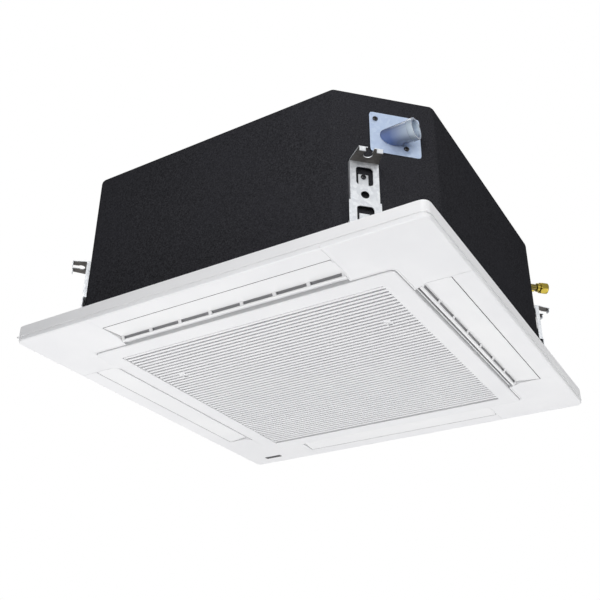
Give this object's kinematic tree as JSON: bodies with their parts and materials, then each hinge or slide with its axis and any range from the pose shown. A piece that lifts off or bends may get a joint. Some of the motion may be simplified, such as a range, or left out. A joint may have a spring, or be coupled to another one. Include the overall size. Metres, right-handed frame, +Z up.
{
  "type": "ceiling cassette air conditioner",
  "caption": "Ceiling cassette air conditioner: insulated eight-sided cabinet above a square panel with swing flaps round a slatted intake grille, hung by slotted corner brackets.",
  "frame": {"origin": "middle of the grille's lower face", "axes": "+Z up into the ceiling; +X and +Y square to the panel's sides; the drain stub is at the +X -Y corner and the refrigerant pipes at the +X +Y corner"},
  "size_m": [0.95, 0.95, 0.4206],
  "materials": {
    "white_plastic": "satin",
    "flap_plastic": "satin",
    "black_foam": "matte",
    "galvanised_steel": "satin",
    "white_foam": "matte",
    "grey_plastic": "matte",
    "dark_plastic": "gloss",
    "fan_plastic": "matte",
    "aluminium": "satin",
    "copper": "satin",
    "brass": "satin",
    "rubber": "matte",
    "clear_plastic": "gloss",
    "circuit_board": "satin",
    "filter_cloth": "matte"
  },
  "bodies": {
    "unit": {"insulation_wrap": "black_foam", "cabinet_shell": "galvanised_steel", "foam_liner": "white_foam", "drain_pan": "white_foam", "panel_gasket": "rubber", "bell_mouth": "grey_plastic", "heat_exchanger": "aluminium", "tube_plate_gas": "galvanised_steel", "tube_plate_liquid": "galvanised_steel", "gas_pipe": "copper", "liquid_pipe": "copper", "gas_flare_nut": "brass", "liquid_flare_nut": "brass", "pipe_cover_plate": "galvanised_steel", "hanging_bracket_a": "galvanised_steel", "hanging_bracket_b": "galvanised_steel", "hanging_bracket_c": "galvanised_steel", "hanging_bracket_d": "galvanised_steel", "bracket_screw_b": "galvanised_steel", "drain_socket_plate": "galvanised_steel", "drain_stub": "clear_plastic", "drain_plate_screw_1": "galvanised_steel", "drain_plate_screw_2": "galvanised_steel", "drain_pump": "dark_plastic", "drain_hose": "rubber", "float_switch": "white_plastic", "fan_motor": "aluminium", "motor_bracket": "galvanised_steel", "motor_rubber_mount_1": "rubber", "motor_rubber_mount_2": "rubber", "motor_rubber_mount_3": "rubber", "motor_rubber_mount_4": "rubber", "electrical_box": "galvanised_steel", "electrical_box_lid": "galvanised_steel", "control_board": "circuit_board", "terminal_block": "grey_plastic", "cable_gland": "dark_plastic", "panel_frame": "white_plastic", "corner_cover_a": "white_plastic", "corner_cover_b": "white_plastic", "corner_cover_c": "white_plastic", "corner_cover_d": "white_plastic", "receiver_window": "dark_plastic", "flap_motor_front": "white_plastic", "flap_motor_right": "white_plastic", "flap_motor_back": "white_plastic", "flap_motor_left": "white_plastic"},
    "fan": {"turbo_fan": "fan_plastic", "motor_shaft": "galvanised_steel", "fan_nut": "galvanised_steel"},
    "front_flap": {"flap_front": "flap_plastic"},
    "right_flap": {"flap_right": "flap_plastic"},
    "back_flap": {"flap_back": "flap_plastic"},
    "left_flap": {"flap_left": "flap_plastic"},
    "grille": {"intake_grille": "white_plastic", "air_filter": "filter_cloth"},
    "left_latch": {"grille_latch_left": "white_plastic"},
    "right_latch": {"grille_latch_right": "white_plastic"},
    "float_body": {"float": "white_foam"}
  },
  "joints": [
    {"name": "fan_spin", "type": "hinge", "parent": "unit", "child": "fan", "pos_m": [0, 0, 0.3096], "axis": [0, 0, 1], "continuous": true},
    {"name": "flap_front_swing", "type": "hinge", "parent": "unit", "child": "front_flap", "pos_m": [0, -0.388, 0.0206], "axis": [1, 0, 0], "range_deg": [0, 50]},
    {"name": "flap_right_swing", "type": "hinge", "parent": "unit", "child": "right_flap", "pos_m": [0.388, 0, 0.0206], "axis": [0, 1, 0], "range_deg": [0, 50]},
    {"name": "flap_back_swing", "type": "hinge", "parent": "unit", "child": "back_flap", "pos_m": [0, 0.388, 0.0206], "axis": [-1, 0, 0], "range_deg": [0, 50]},
    {"name": "flap_left_swing", "type": "hinge", "parent": "unit", "child": "left_flap", "pos_m": [-0.388, 0, 0.0206], "axis": [0, -1, 0], "range_deg": [0, 50]},
    {"name": "grille_swing", "type": "hinge", "parent": "unit", "child": "grille", "pos_m": [0, 0.347, 0.0055], "axis": [1, 0, 0], "range_deg": [0, 90]},
    {"name": "latch_left_slide", "type": "slide", "parent": "grille", "child": "left_latch", "axis": [0, 1, 0], "range_m": [0, 0.006], "stiffness_N_per_m": 150},
    {"name": "latch_right_slide", "type": "slide", "parent": "grille", "child": "right_latch", "axis": [0, 1, 0], "range_m": [0, 0.006], "stiffness_N_per_m": 150},
    {"name": "float_rise", "type": "slide", "parent": "unit", "child": "float_body", "axis": [0, 0, 1], "range_m": [0, 0.012]}
  ]
}
